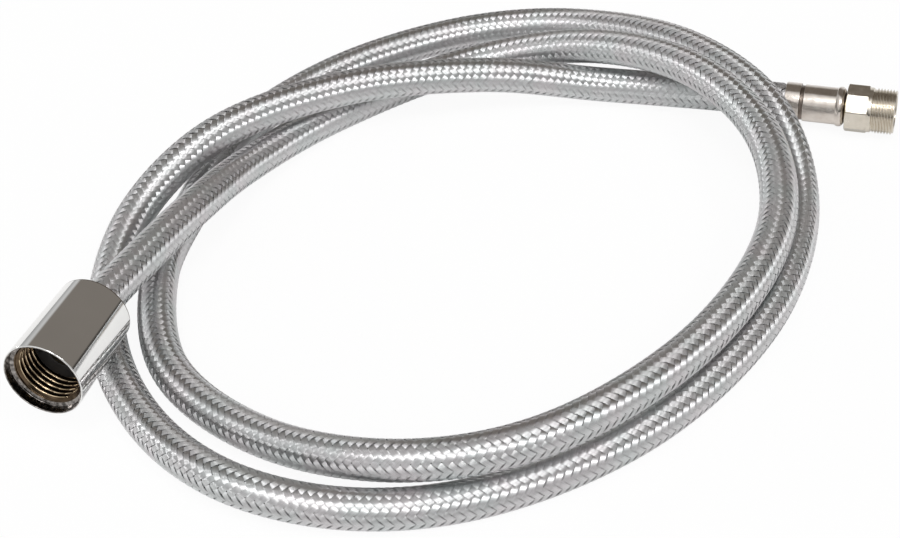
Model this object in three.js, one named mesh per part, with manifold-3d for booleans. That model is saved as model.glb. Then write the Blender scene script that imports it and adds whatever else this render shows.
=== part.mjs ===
// A braided metal hose with a round swivel nut on one end and a swivel connector with an
// outside thread on the other. It lies in loose loops on the plane z = 0.
// Millimetres, +Z up.

import * as THREE from 'three';
import { mergeVertices } from 'three/addons/utils/BufferGeometryUtils.js';
import Module from 'manifold-3d';

const wasm = await Module();
wasm.setup();

// ---------------------------------------------------------------- driving dimensions

// Clearances
const FIT_GAP = 0.3; // between pieces that touch
const RUNNING_GAP = 0.65; // between the nut's throat and the ferrule it slides over
const RING_PLAY = 0.45; // between the guide ring and the hose it slides on

// Hose
const HOSE_RADIUS = 6;
const UNDERSIDE_FLAT = 1.2; // depth of the flat that the hose lies on
const CRIMP_DEPTH = 0.6; // how far a ferrule squeezes the braid
const CRIMP_TAPER = 2; // length over which the braid opens out of a ferrule
const BRAID_WALL = 1.8;
const TUBE_WALL = 0.75;
const TUBE_SIDES = 8;
const BRAID_SIDES = 12;
const HOSE_STEP = 20; // along the hose, between one ring of points and the next

// Tails, the barbed inserts
const TAIL_WALL = 0.85;
const TAIL_INSERT_LENGTH = 12;
const BARB_COUNT = 4;
const BARB_PITCH = 2.4;
const BARB_DEPTH = 0.3;
const BARB_LIP = 0.3;

// Ferrules, the crimped sleeves
const FERRULE_WALL = 0.5;
const COLLAR_LENGTH = 5.2;
const COLLAR_RISE = 0.25; // of the collar over the ferrule's body
const GROOVE_LENGTH = 0.9;
const GROOVE_DEPTH = 0.15;
const NUT_FERRULE_LENGTH = 10.2;
const CONNECTOR_FERRULE_LENGTH = 17.1; // up to its bulge
const BULGE_LENGTH = 3;
const BULGE_RISE = 0.5;
const BULGE_STEPS = 6;
const EDGE_ROUND = 0.4;

// Swivel nut
const NUT_LENGTH = 33;
const NUT_MOUTH_RADIUS = 12.35;
const NUT_REAR_RADIUS = 11.5;
const MOUTH_WALL = 0.65;
const MOUTH_BORE_DEPTH = 3.5;
const NUT_THREAD_RADIUS = 10.48; // G 1/2, at the roots
const NUT_THREAD_PITCH = 1.814;
const NUT_THREAD_DEPTH = 1.16;
const NUT_THREAD_TURNS = 5;
const NUT_LEAD_IN = 1.1;
const THROAT_DEPTH = 16.8; // from the mouth to the shoulder that pulls on the flange
const NUT_TRAVEL = 6; // how far the nut slides back along the hose
const REAR_WALL = 1.9;
const REAR_LIP_HEIGHT = 0.5;
const REAR_LIP_LENGTH = 1;
const RING_BODY_LENGTH = 3.8; // of the guide ring, in the nut's rear pocket

// Seal washer and the flange behind it
const WASHER_THICKNESS = 2;
const WASHER_BORE_RADIUS = 4.5;
const FLANGE_THICKNESS = 2;

// Connector
const SPIGOT_RADIUS = 4;
const SPIGOT_LIP = 0.7;
const WRENCH_ACROSS_FLATS = 15;
const WRENCH_SIDES = 8;
const WRENCH_LENGTH = 7.3;
const CONNECTOR_COLLAR_LENGTH = 1.7;
const MALE_THREAD_RADIUS = 7.5; // M15 x 1, at the crests
const MALE_THREAD_PITCH = 1;
const MALE_THREAD_DEPTH = 0.61;
const MALE_THREAD_LENGTH = 7.2;
const THREAD_CHAMFER = 0.6;
const CONNECTOR_BORE_RADIUS = 5.5;
const SHOULDER_DEPTH = 6.5; // from the thread's end to the shoulder behind the retaining ring

// O-ring and retaining ring on the spigot
const O_RING_SECTION_RADIUS = 0.7;
const O_RING_SETBACK = 4; // from the ferrule's end to the middle of the O-ring
const O_RING_SIDES = 8;
const RETAINER_THICKNESS = 0.6;
const RETAINER_GRIP = 0.6; // how deep it sits in the spigot
const RETAINER_MOUTH = 3; // the opening in the ring

// Fineness
const ROUND_SIDES = 32; // of a turned piece, and steps in each turn of a thread

// ---------------------------------------------------------------- sizes that follow

const LYING = HOSE_RADIUS - UNDERSIDE_FLAT; // height of the centre line where the hose lies
const RESTING = WRENCH_ACROSS_FLATS / 2; // height of the connector's axis, resting on a flat

const CRIMPED_RADIUS = HOSE_RADIUS - CRIMP_DEPTH;
const BRAID_BORE_RADIUS = HOSE_RADIUS - BRAID_WALL;
const TUBE_RADIUS = BRAID_BORE_RADIUS * Math.cos(Math.PI / BRAID_SIDES) - FIT_GAP;
const TUBE_BORE_RADIUS = TUBE_RADIUS - TUBE_WALL;
const TAIL_RADIUS = TUBE_BORE_RADIUS * Math.cos(Math.PI / TUBE_SIDES) - FIT_GAP;
const TAIL_BORE_RADIUS = TAIL_RADIUS - TAIL_WALL;

const FERRULE_BORE_RADIUS = CRIMPED_RADIUS + FIT_GAP;
const FERRULE_RADIUS = FERRULE_BORE_RADIUS + FERRULE_WALL;
const FERRULE_COLLAR_RADIUS = FERRULE_RADIUS + COLLAR_RISE;
const BULGE_BORE_RADIUS = FERRULE_BORE_RADIUS + BULGE_RISE;

const NUT_BORE_RADIUS = NUT_THREAD_RADIUS - NUT_THREAD_DEPTH;
const THROAT_RADIUS = FERRULE_COLLAR_RADIUS + RUNNING_GAP;
const RING_POCKET_RADIUS = NUT_REAR_RADIUS - REAR_WALL;
const REAR_LIP_RADIUS = RING_POCKET_RADIUS - REAR_LIP_HEIGHT;
const FLANGE_RADIUS = NUT_BORE_RADIUS - FIT_GAP;
const FLANGE_REAR = -THROAT_DEPTH + FIT_GAP;
const HOSE_DEPTH_IN_NUT = THROAT_DEPTH + FERRULE_WALL + FIT_GAP;
const RING_POCKET_DEPTH = NUT_LENGTH - REAR_LIP_LENGTH - RING_BODY_LENGTH - 2 * FIT_GAP;
const PAST_THE_NUT = NUT_LENGTH + NUT_TRAVEL - HOSE_DEPTH_IN_NUT; // along the hose

const CONNECTOR_COLLAR_END = FIT_GAP + WRENCH_LENGTH + CONNECTOR_COLLAR_LENGTH;
const CONNECTOR_FRONT = CONNECTOR_COLLAR_END + MALE_THREAD_LENGTH;
const CONNECTOR_SHOULDER = CONNECTOR_FRONT - SHOULDER_DEPTH;
const RETAINER_REAR = CONNECTOR_SHOULDER + FIT_GAP;
const RETAINER_FRONT = RETAINER_REAR + RETAINER_THICKNESS;
const RETAINER_RADIUS = CONNECTOR_BORE_RADIUS - FIT_GAP;
const RETAINER_BORE_RADIUS = SPIGOT_RADIUS - RETAINER_GRIP;
const SPIGOT_END = RETAINER_FRONT + FIT_GAP + SPIGOT_LIP;

// The hose's centre line, from its end face in the swivel nut to its end face in the
// connector's ferrule: over the left side, round the inner turn, round the outer turn, and
// across to the right, over the left side and under both turns.
const ROUTE = [
  [-123.9, -56.4, 23.4],
  [-120.5, -47.6, 22.9],
  [-116.6, -37.4, 22.3],
  [-92.5, 10, 17],
  [-77, 41.5, 9],
  [-49, 71, LYING],
  [-2.5, 93.5, 6],
  [40.5, 83.5, 16.5],
  [73, 54, 23.5],
  [90, 16.5, 22],
  [86.5, -26, 18.5],
  [57, -72, 17.5],
  [10, -105.5, 18.5],
  [-28.5, -108, 15.5],
  [-70.5, -85, 7],
  [-98.5, -51, LYING],
  [-104, -8.5, 5.5],
  [-95.5, 27, LYING],
  [-80.5, 66.5, LYING],
  [-46, 97, 6],
  [0.5, 115.5, 5.5],
  [38.5, 109, 9],
  [75, 72.5, 19.5],
  [96, 37.5, 17.5],
  [100.5, 5.5, 6.5],
  [81.5, -48, 5.5],
  [40.5, -91.5, LYING],
  [-7, -113, LYING],
  [-45.5, -115, 6],
  [-79.5, -102.5, 8],
  [-106.5, -69, LYING],
  [-120, -24, LYING],
  [-112.5, 18.5, 10.5],
  [-87, 45, 19.5],
  [-45, 66.5, 19],
  [5, 74, 14.5],
  [45, 74.5, 6],
  [87.8, 59.5, RESTING],
  [104.7, 53.5, RESTING],
  [120.2, 48, RESTING],
];

// ---------------------------------------------------------------- from mesh to solid

// Drops everything but positions, joins equal points and removes empty triangles.
function weld(geometry) {
  const bare = geometry.clone();
  bare.deleteAttribute('normal');
  bare.deleteAttribute('uv');
  const joined = mergeVertices(bare);
  const index = joined.index.array;
  const kept = [];
  for (let i = 0; i < index.length; i += 3) {
    const [a, b, c] = [index[i], index[i + 1], index[i + 2]];
    if (a !== b && b !== c && c !== a) {
      kept.push(a, b, c);
    }
  }
  joined.setIndex(kept);
  return joined;
}

function toSolid(geometry) {
  const welded = weld(geometry);
  return new wasm.Manifold(new wasm.Mesh({
    numProp: 3,
    vertProperties: new Float32Array(welded.attributes.position.array),
    triVerts: new Uint32Array(welded.index.array),
  }));
}

function toGeometry(solid) {
  const mesh = solid.getMesh();
  const geometry = new THREE.BufferGeometry();
  geometry.setAttribute('position', new THREE.BufferAttribute(mesh.vertProperties, 3));
  geometry.setIndex(new THREE.BufferAttribute(mesh.triVerts, 1));
  const faceted = geometry.toNonIndexed();
  faceted.computeVertexNormals();
  return faceted;
}

// ---------------------------------------------------------------- shapes

// A body of revolution round Z. The outline is a list of [radius, z] that closes on itself.
function turned(outline) {
  const points = outline.map(([radius, z]) => new THREE.Vector2(radius, z));
  if (THREE.ShapeUtils.isClockWise(points)) {
    points.reverse();
  }
  points.push(points[0].clone());
  const geometry = new THREE.LatheGeometry(points, ROUND_SIDES);
  geometry.rotateX(Math.PI / 2);
  return geometry;
}

// Joins rings of points into a closed skin. A skin whose last ring is its first has no ends
// to close; any other gets a flat cap on each end. The faces are turned outwards.
function skin(rings) {
  const sides = rings[0].length;
  const last = rings.length - 1;
  const triangles = [];
  for (let ring = 0; ring < last; ring += 1) {
    for (let side = 0; side < sides; side += 1) {
      const [a, b] = [rings[ring][side], rings[ring][(side + 1) % sides]];
      const [d, c] = [rings[ring + 1][side], rings[ring + 1][(side + 1) % sides]];
      triangles.push([a, b, c], [a, c, d]);
    }
  }
  if (rings[0] !== rings[last]) {
    for (let side = 1; side + 1 < sides; side += 1) {
      triangles.push([rings[0][0], rings[0][side + 1], rings[0][side]]);
      triangles.push([rings[last][0], rings[last][side], rings[last][side + 1]]);
    }
  }
  const volume = triangles.reduce((sum, [a, b, c]) => sum + a.dot(b.clone().cross(c)), 0);
  const outward = volume > 0 ? triangles : triangles.map(([a, b, c]) => [a, c, b]);
  const geometry = new THREE.BufferGeometry().setFromPoints(outward.flat());
  geometry.computeVertexNormals();
  return geometry;
}

// The helical ridge that cuts a thread's groove: wide at mouthRadius, narrow at
// bottomRadius, climbing from startZ by one pitch a turn.
function threadCutter({ mouthRadius, bottomRadius, pitch, turns, startZ }) {
  const depth = bottomRadius - mouthRadius;
  const halfBottom = 0.03 * pitch;
  const halfMouth = 0.44 * pitch;
  const overrun = 0.1; // share of the depth by which the ridge stands out of the mouth
  const outerHalf = halfMouth + (halfMouth - halfBottom) * overrun;
  const outerRadius = mouthRadius - depth * overrun;
  const section = [
    [outerRadius, -outerHalf],
    [bottomRadius, -halfBottom],
    [bottomRadius, halfBottom],
    [outerRadius, outerHalf],
  ];
  const rings = [];
  for (let step = 0; step <= turns * ROUND_SIDES; step += 1) {
    const angle = (step / ROUND_SIDES) * 2 * Math.PI;
    const climb = startZ + (step / ROUND_SIDES) * pitch;
    rings.push(section.map(([radius, offset]) => new THREE.Vector3(
      radius * Math.cos(angle),
      radius * Math.sin(angle),
      climb + offset,
    )));
  }
  return skin(rings);
}

// ---------------------------------------------------------------- the hose

const route = new THREE.CatmullRomCurve3(ROUTE.map((point) => new THREE.Vector3(...point)));
route.arcLengthDivisions = 4000;
const hoseLength = route.getLength();

// The directions square to a heading that is nearly level, without any roll.
function sideways(forward) {
  const left = new THREE.Vector3(0, 0, 1).cross(forward).normalize();
  const up = forward.clone().cross(left);
  return { left, up };
}

const CRIMP_AT_NUT = NUT_FERRULE_LENGTH - FERRULE_WALL - FIT_GAP;
const CRIMP_AT_CONNECTOR = CONNECTOR_FERRULE_LENGTH - FIT_GAP;

// Distances along the hose of its rings: at each crimp, where the guide ring gets to at the
// end of the nut's travel, and evenly spaced in between.
function hoseStations() {
  const opened = CRIMP_AT_NUT + CRIMP_TAPER;
  const last = hoseLength - CRIMP_AT_CONNECTOR - CRIMP_TAPER;
  const steps = Math.ceil((last - PAST_THE_NUT) / HOSE_STEP);
  const between = [];
  for (let step = 0; step <= steps; step += 1) {
    between.push(THREE.MathUtils.lerp(PAST_THE_NUT, last, step / steps));
  }
  return [0, CRIMP_AT_NUT, opened, ...between, hoseLength - CRIMP_AT_CONNECTOR, hoseLength];
}

const STATIONS = hoseStations();

// One section of the hose, with a flat side underneath.
function sectionAt(distance, radius, sides) {
  const u = distance / hoseLength;
  const { left, up } = sideways(route.getTangentAt(u));
  const points = [];
  for (let side = 0; side < sides; side += 1) {
    const angle = ((side + 0.5) / sides) * 2 * Math.PI;
    points.push(route.getPointAt(u)
      .addScaledVector(left, radius * Math.sin(angle))
      .addScaledVector(up, -radius * Math.cos(angle)));
  }
  return points;
}

// A tube along the hose, with an outer radius for each station.
function hoseLayer(outerRadii, boreRadius, sides) {
  const outer = STATIONS.map((distance, place) => sectionAt(distance, outerRadii[place], sides));
  const inner = STATIONS.map((distance) => sectionAt(distance, boreRadius, sides));
  return skin([...outer, ...inner.reverse(), outer[0]]);
}

// The braid is squeezed at its first two and last two stations. What would reach below the
// surface is cut off, so that the hose lies flat.
function braidSleeve() {
  const inner = STATIONS.slice(2, -2).map(() => HOSE_RADIUS);
  const radii = [CRIMPED_RADIUS, CRIMPED_RADIUS, ...inner, CRIMPED_RADIUS, CRIMPED_RADIUS];
  const tube = toSolid(hoseLayer(radii, BRAID_BORE_RADIUS, BRAID_SIDES));
  const ground = new THREE.BoxGeometry(2 * hoseLength, 2 * hoseLength, 2 * HOSE_RADIUS);
  ground.translate(0, 0, -HOSE_RADIUS);
  return toGeometry(tube.subtract(toSolid(ground)));
}

function innerTube() {
  return hoseLayer(STATIONS.map(() => TUBE_RADIUS), TUBE_BORE_RADIUS, TUBE_SIDES);
}

// The least distance between two stretches of the hose, surface to surface, taken on
// points along the straight runs between its rings.
function leastSelfGap() {
  const pointsPerRun = 5;
  const points = [];
  for (let run = 0; run + 1 < STATIONS.length; run += 1) {
    const from = route.getPointAt(STATIONS[run] / hoseLength);
    const to = route.getPointAt(STATIONS[run + 1] / hoseLength);
    for (let step = 0; step < pointsPerRun; step += 1) {
      const share = step / pointsPerRun;
      const along = THREE.MathUtils.lerp(STATIONS[run], STATIONS[run + 1], share);
      points.push({ along, place: from.clone().lerp(to, share) });
    }
  }
  const apart = 8 * HOSE_RADIUS; // along the hose, before two points count as two stretches
  let least = Infinity;
  for (const a of points) {
    for (const b of points) {
      if (b.along - a.along > apart) {
        least = Math.min(least, a.place.distanceTo(b.place) - 2 * HOSE_RADIUS);
      }
    }
  }
  return least;
}

// ---------------------------------------------------------------- ferrules and tails

// The outer side of a ferrule: its open rear edge at z = rearEdge, the collar and the groove.
function ferruleCollar(rearEdge) {
  const collarEnd = rearEdge + COLLAR_LENGTH;
  const grooveRadius = FERRULE_RADIUS - GROOVE_DEPTH;
  return [
    [FERRULE_BORE_RADIUS, rearEdge],
    [FERRULE_COLLAR_RADIUS - EDGE_ROUND / 2, rearEdge],
    [FERRULE_COLLAR_RADIUS, rearEdge + EDGE_ROUND / 2],
    [FERRULE_COLLAR_RADIUS, collarEnd],
    [grooveRadius, collarEnd + GROOVE_DEPTH],
    [grooveRadius, collarEnd + GROOVE_LENGTH - GROOVE_DEPTH],
    [FERRULE_RADIUS, collarEnd + GROOVE_LENGTH],
  ];
}

// Its end wall is at z = 0.
function nutFerrule() {
  const holeRadius = TAIL_RADIUS + FIT_GAP;
  return turned([
    ...ferruleCollar(-NUT_FERRULE_LENGTH),
    [FERRULE_RADIUS, -EDGE_ROUND],
    [FERRULE_RADIUS - EDGE_ROUND, 0],
    [holeRadius, 0],
    [holeRadius, -FERRULE_WALL],
    [FERRULE_BORE_RADIUS, -FERRULE_WALL],
  ]);
}

// Past its crimp it goes on in a rolled bulge, whose end wall is at z = 0.
function connectorFerrule() {
  const holeRadius = SPIGOT_RADIUS + FIT_GAP;
  const roll = [];
  for (let step = 1; step < BULGE_STEPS; step += 1) {
    const angle = (step / BULGE_STEPS) * Math.PI;
    roll.push([
      FERRULE_RADIUS + BULGE_RISE * Math.sqrt(Math.sin(angle)),
      -(BULGE_LENGTH / 2) * (1 + Math.cos(angle)),
    ]);
  }
  return turned([
    ...ferruleCollar(-BULGE_LENGTH - CONNECTOR_FERRULE_LENGTH),
    [FERRULE_RADIUS, -BULGE_LENGTH],
    ...roll,
    [FERRULE_RADIUS, 0],
    [holeRadius, 0],
    [holeRadius, -FERRULE_WALL],
    [BULGE_BORE_RADIUS, -FERRULE_WALL],
    [BULGE_BORE_RADIUS, -BULGE_LENGTH + BULGE_RISE],
    [FERRULE_BORE_RADIUS, -BULGE_LENGTH],
  ]);
}

// The barbed side of an insert, from its mouth at z = mouth down to its tip in the hose.
function barbedSide(mouth) {
  const tip = mouth - TAIL_INSERT_LENGTH;
  const firstEdge = tip + BARB_COUNT * BARB_PITCH;
  const points = [
    [TAIL_RADIUS, mouth],
    [TAIL_RADIUS, firstEdge + BARB_LIP],
    [TAIL_RADIUS - BARB_DEPTH, firstEdge],
  ];
  for (let barb = BARB_COUNT; barb > 0; barb -= 1) {
    const edge = tip + barb * BARB_PITCH;
    points.push([TAIL_RADIUS, edge - BARB_LIP]);
    points.push([TAIL_RADIUS - BARB_DEPTH, edge - BARB_PITCH]);
  }
  return [...points, [TAIL_BORE_RADIUS, tip]];
}

// The flange's rear face, on which the nut pulls, is at z = 0.
function nutHoseTail() {
  return turned([
    [TAIL_BORE_RADIUS, FLANGE_THICKNESS],
    [FLANGE_RADIUS, FLANGE_THICKNESS],
    [FLANGE_RADIUS, 0],
    ...barbedSide(0),
  ]);
}

// Its rear face, on the flange, is at z = 0.
function sealWasher() {
  return turned([
    [WASHER_BORE_RADIUS, 0],
    [FLANGE_RADIUS, 0],
    [FLANGE_RADIUS, WASHER_THICKNESS],
    [WASHER_BORE_RADIUS, WASHER_THICKNESS],
  ]);
}

// Its collar sits in the ferrule's bulge and its spigot passes the ferrule's end at z = 0.
function connectorHoseTail() {
  const collarFront = -FERRULE_WALL - FIT_GAP;
  const collarRadius = BULGE_BORE_RADIUS - FIT_GAP;
  const grooveHalf = O_RING_SECTION_RADIUS + FIT_GAP;
  const oRingBed = SPIGOT_RADIUS - 2 * O_RING_SECTION_RADIUS - FIT_GAP;
  const retainerBed = RETAINER_BORE_RADIUS - FIT_GAP;
  return turned([
    [TAIL_BORE_RADIUS, SPIGOT_END],
    [SPIGOT_RADIUS, SPIGOT_END],
    [SPIGOT_RADIUS, RETAINER_FRONT + FIT_GAP],
    [retainerBed, RETAINER_FRONT + FIT_GAP],
    [retainerBed, RETAINER_REAR - FIT_GAP],
    [SPIGOT_RADIUS, RETAINER_REAR - FIT_GAP],
    [SPIGOT_RADIUS, O_RING_SETBACK + grooveHalf],
    [oRingBed, O_RING_SETBACK + grooveHalf],
    [oRingBed, O_RING_SETBACK - grooveHalf],
    [SPIGOT_RADIUS, O_RING_SETBACK - grooveHalf],
    [SPIGOT_RADIUS, collarFront],
    [collarRadius, collarFront],
    [collarRadius, -BULGE_LENGTH + BULGE_RISE],
    [collarRadius - BULGE_RISE, -BULGE_LENGTH],
    ...barbedSide(-BULGE_LENGTH),
  ]);
}

// ---------------------------------------------------------------- the swivel nut's end

// The mouth is at z = 0 and the hose leaves towards negative z.
function swivelNut() {
  const leadInEnd = -MOUTH_BORE_DEPTH - NUT_LEAD_IN;
  const body = turned([
    [NUT_MOUTH_RADIUS - MOUTH_WALL, 0],
    [NUT_MOUTH_RADIUS - MOUTH_WALL, -MOUTH_BORE_DEPTH],
    [NUT_BORE_RADIUS, leadInEnd],
    [NUT_BORE_RADIUS, -THROAT_DEPTH],
    [THROAT_RADIUS, -THROAT_DEPTH],
    [THROAT_RADIUS, -RING_POCKET_DEPTH],
    [RING_POCKET_RADIUS, -RING_POCKET_DEPTH],
    [RING_POCKET_RADIUS, -NUT_LENGTH + REAR_LIP_LENGTH],
    [REAR_LIP_RADIUS, -NUT_LENGTH + REAR_LIP_LENGTH],
    [REAR_LIP_RADIUS, -NUT_LENGTH],
    [NUT_REAR_RADIUS - EDGE_ROUND, -NUT_LENGTH],
    [NUT_REAR_RADIUS, -NUT_LENGTH + EDGE_ROUND],
    [NUT_MOUTH_RADIUS, -EDGE_ROUND],
    [NUT_MOUTH_RADIUS - EDGE_ROUND, 0],
  ]);
  const groove = threadCutter({
    mouthRadius: NUT_BORE_RADIUS,
    bottomRadius: NUT_THREAD_RADIUS,
    pitch: NUT_THREAD_PITCH,
    turns: NUT_THREAD_TURNS,
    startZ: leadInEnd - (NUT_THREAD_TURNS - 0.5) * NUT_THREAD_PITCH,
  });
  return toGeometry(toSolid(body).subtract(toSolid(groove)));
}

// Its front face is at z = 0. The body fills the nut's rear pocket, the nose the rear lip.
function guideRing() {
  const boreRadius = HOSE_RADIUS + RING_PLAY;
  const bodyRadius = RING_POCKET_RADIUS - FIT_GAP;
  const noseRadius = REAR_LIP_RADIUS - FIT_GAP;
  const rear = -RING_BODY_LENGTH - REAR_LIP_LENGTH;
  return turned([
    [boreRadius, 0],
    [bodyRadius, 0],
    [bodyRadius, -RING_BODY_LENGTH],
    [noseRadius, -RING_BODY_LENGTH],
    [noseRadius, rear],
    [boreRadius, rear],
  ]);
}

// ---------------------------------------------------------------- the connector's end

// The wrench section: a prism with flats at the top and bottom and bevelled corners.
function wrenchSection(rear, front) {
  const flatRadius = WRENCH_ACROSS_FLATS / 2;
  const cornerRadius = flatRadius / Math.cos(Math.PI / WRENCH_SIDES);
  const bevel = cornerRadius - flatRadius;
  const length = front - rear;
  const prism = new THREE.CylinderGeometry(cornerRadius, cornerRadius, length, WRENCH_SIDES);
  prism.rotateX(Math.PI / 2);
  prism.rotateZ(Math.PI / WRENCH_SIDES);
  prism.translate(0, 0, (rear + front) / 2);
  const rounding = turned([
    [0, rear],
    [flatRadius, rear],
    [cornerRadius + bevel, rear + bevel],
    [cornerRadius + bevel, front - bevel],
    [flatRadius, front],
    [0, front],
  ]);
  return toSolid(prism).intersect(toSolid(rounding));
}

// The rear face is just clear of the ferrule's bulge, which ends at z = 0.
function maleConnector() {
  const wrenchEnd = FIT_GAP + WRENCH_LENGTH;
  const threadRoot = MALE_THREAD_RADIUS - MALE_THREAD_DEPTH;
  const neck = turned([
    [0, wrenchEnd],
    [WRENCH_ACROSS_FLATS / 2, wrenchEnd],
    [WRENCH_ACROSS_FLATS / 2, CONNECTOR_COLLAR_END - THREAD_CHAMFER],
    [threadRoot, CONNECTOR_COLLAR_END],
    [MALE_THREAD_RADIUS, CONNECTOR_COLLAR_END + MALE_THREAD_DEPTH],
    [MALE_THREAD_RADIUS, CONNECTOR_FRONT - THREAD_CHAMFER],
    [MALE_THREAD_RADIUS - THREAD_CHAMFER, CONNECTOR_FRONT],
    [0, CONNECTOR_FRONT],
  ]);
  const bore = turned([
    [0, 0],
    [SPIGOT_RADIUS + FIT_GAP, 0],
    [SPIGOT_RADIUS + FIT_GAP, CONNECTOR_SHOULDER],
    [CONNECTOR_BORE_RADIUS, CONNECTOR_SHOULDER],
    [CONNECTOR_BORE_RADIUS, CONNECTOR_FRONT + FIT_GAP],
    [0, CONNECTOR_FRONT + FIT_GAP],
  ]);
  const groove = threadCutter({
    mouthRadius: MALE_THREAD_RADIUS,
    bottomRadius: threadRoot,
    pitch: MALE_THREAD_PITCH,
    turns: MALE_THREAD_LENGTH / MALE_THREAD_PITCH + 1,
    startZ: CONNECTOR_COLLAR_END,
  });
  const blank = wrenchSection(FIT_GAP, wrenchEnd).add(toSolid(neck));
  return toGeometry(blank.subtract(toSolid(bore)).subtract(toSolid(groove)));
}

// Centred on z = 0. Its outside is flush with the spigot's.
function oRing() {
  const outline = [];
  for (let side = 0; side < O_RING_SIDES; side += 1) {
    const angle = (side / O_RING_SIDES) * 2 * Math.PI;
    outline.push([
      SPIGOT_RADIUS - O_RING_SECTION_RADIUS * (1 - Math.cos(angle)),
      O_RING_SECTION_RADIUS * Math.sin(angle),
    ]);
  }
  return turned(outline);
}

// An open spring ring, its rear face at z = 0.
function retainingRing() {
  const ring = turned([
    [RETAINER_BORE_RADIUS, 0],
    [RETAINER_RADIUS, 0],
    [RETAINER_RADIUS, RETAINER_THICKNESS],
    [RETAINER_BORE_RADIUS, RETAINER_THICKNESS],
  ]);
  const mouth = new THREE.BoxGeometry(2 * RETAINER_RADIUS, RETAINER_MOUTH, 4 * RETAINER_THICKNESS);
  mouth.translate(RETAINER_RADIUS, 0, 0);
  return toGeometry(toSolid(ring).subtract(toSolid(mouth)));
}

// ---------------------------------------------------------------- materials and assembly

function finish(color, roughness, metalness) {
  return new THREE.MeshStandardMaterial({ color, roughness, metalness });
}

const steel = finish(0xb9bbbd, 0.35, 1);
const chrome = finish(0xd8d6d2, 0.08, 1);
const nickel = finish(0xcfc6b6, 0.2, 1);
const brass = finish(0xb89a5a, 0.35, 1);
const rubber = finish(0x222222, 0.8, 0);
const nylon = finish(0xe6e4dc, 0.5, 0);

function piece(name, geometry, material, z = 0) {
  const mesh = new THREE.Mesh(geometry, material);
  mesh.name = name;
  mesh.position.z = z;
  return mesh;
}

// A group past one end of the hose, `reach` beyond its end face, with +Z pointing away from
// the hose and +Y up.
function endGroup(u, outward, reach) {
  const group = new THREE.Group();
  const { left, up } = sideways(outward);
  group.position.copy(route.getPointAt(u)).addScaledVector(outward, reach);
  group.quaternion.setFromRotationMatrix(new THREE.Matrix4().makeBasis(left, up, outward));
  return group;
}

const nutEnd = endGroup(0, route.getTangentAt(0).negate(), HOSE_DEPTH_IN_NUT);
nutEnd.add(piece('swivel_nut', swivelNut(), chrome));
nutEnd.add(piece('guide_ring', guideRing(), nylon, -RING_POCKET_DEPTH - FIT_GAP));
nutEnd.add(piece('seal_washer', sealWasher(), rubber, FLANGE_REAR + FLANGE_THICKNESS + FIT_GAP));
nutEnd.add(piece('nut_hose_tail', nutHoseTail(), brass, FLANGE_REAR));
nutEnd.add(piece('nut_ferrule', nutFerrule(), steel, -THROAT_DEPTH));

const connectorEnd = endGroup(1, route.getTangentAt(1), BULGE_LENGTH + FIT_GAP);
connectorEnd.add(piece('connector_ferrule', connectorFerrule(), nickel));
connectorEnd.add(piece('connector_hose_tail', connectorHoseTail(), brass));
connectorEnd.add(piece('o_ring', oRing(), rubber, O_RING_SETBACK));
connectorEnd.add(piece('retaining_ring', retainingRing(), steel, RETAINER_REAR));
connectorEnd.add(piece('male_connector', maleConnector(), nickel));

const hose = new THREE.Group();
hose.add(piece('braid_sleeve', braidSleeve(), steel));
hose.add(piece('inner_tube', innerTube(), rubber));
hose.add(nutEnd, connectorEnd);

console.log(`hose length ${hoseLength.toFixed(1)} mm`);
console.log(`least gap of the hose to itself ${leastSelfGap().toFixed(2)} mm`);

export default hose;
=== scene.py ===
"""A braided metal hose in loose loops, with a chromed swivel nut and a nickel swivel connector."""

import math

import bpy
import numpy as np
from mathutils import Matrix, Vector


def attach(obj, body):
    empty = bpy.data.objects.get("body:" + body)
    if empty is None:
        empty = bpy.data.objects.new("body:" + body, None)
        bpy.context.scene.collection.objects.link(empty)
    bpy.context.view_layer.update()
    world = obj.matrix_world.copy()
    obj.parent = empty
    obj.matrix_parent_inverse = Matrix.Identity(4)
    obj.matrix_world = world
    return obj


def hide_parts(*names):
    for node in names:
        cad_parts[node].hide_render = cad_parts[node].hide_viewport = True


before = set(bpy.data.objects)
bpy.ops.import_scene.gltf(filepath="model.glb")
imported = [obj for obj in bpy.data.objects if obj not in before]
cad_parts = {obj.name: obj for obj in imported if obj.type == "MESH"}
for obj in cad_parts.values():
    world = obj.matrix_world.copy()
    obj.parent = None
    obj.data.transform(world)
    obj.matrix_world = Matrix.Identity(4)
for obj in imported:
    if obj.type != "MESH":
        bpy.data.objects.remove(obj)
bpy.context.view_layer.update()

# ---------------------------------------------------------------- sizes, in metres

MM = 0.001

# The hose
HOSE_RADIUS = 6 * MM
LYING = 4.8 * MM  # height of the centre line where the hose lies
RESTING = 7.5 * MM  # height of the connector's axis
CRIMP_DEPTH = 0.6 * MM  # how far a ferrule squeezes the braid
CRIMP_TAPER = 2 * MM
CRIMP_AT_NUT = 9.4 * MM
CRIMP_AT_CONNECTOR = 16 * MM
TUBE_RADIUS = 5.2 * MM
TUBE_SIDES = 24
TUBE_STEP = 4  # one ring of the tube for so many steps of the braid

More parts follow.
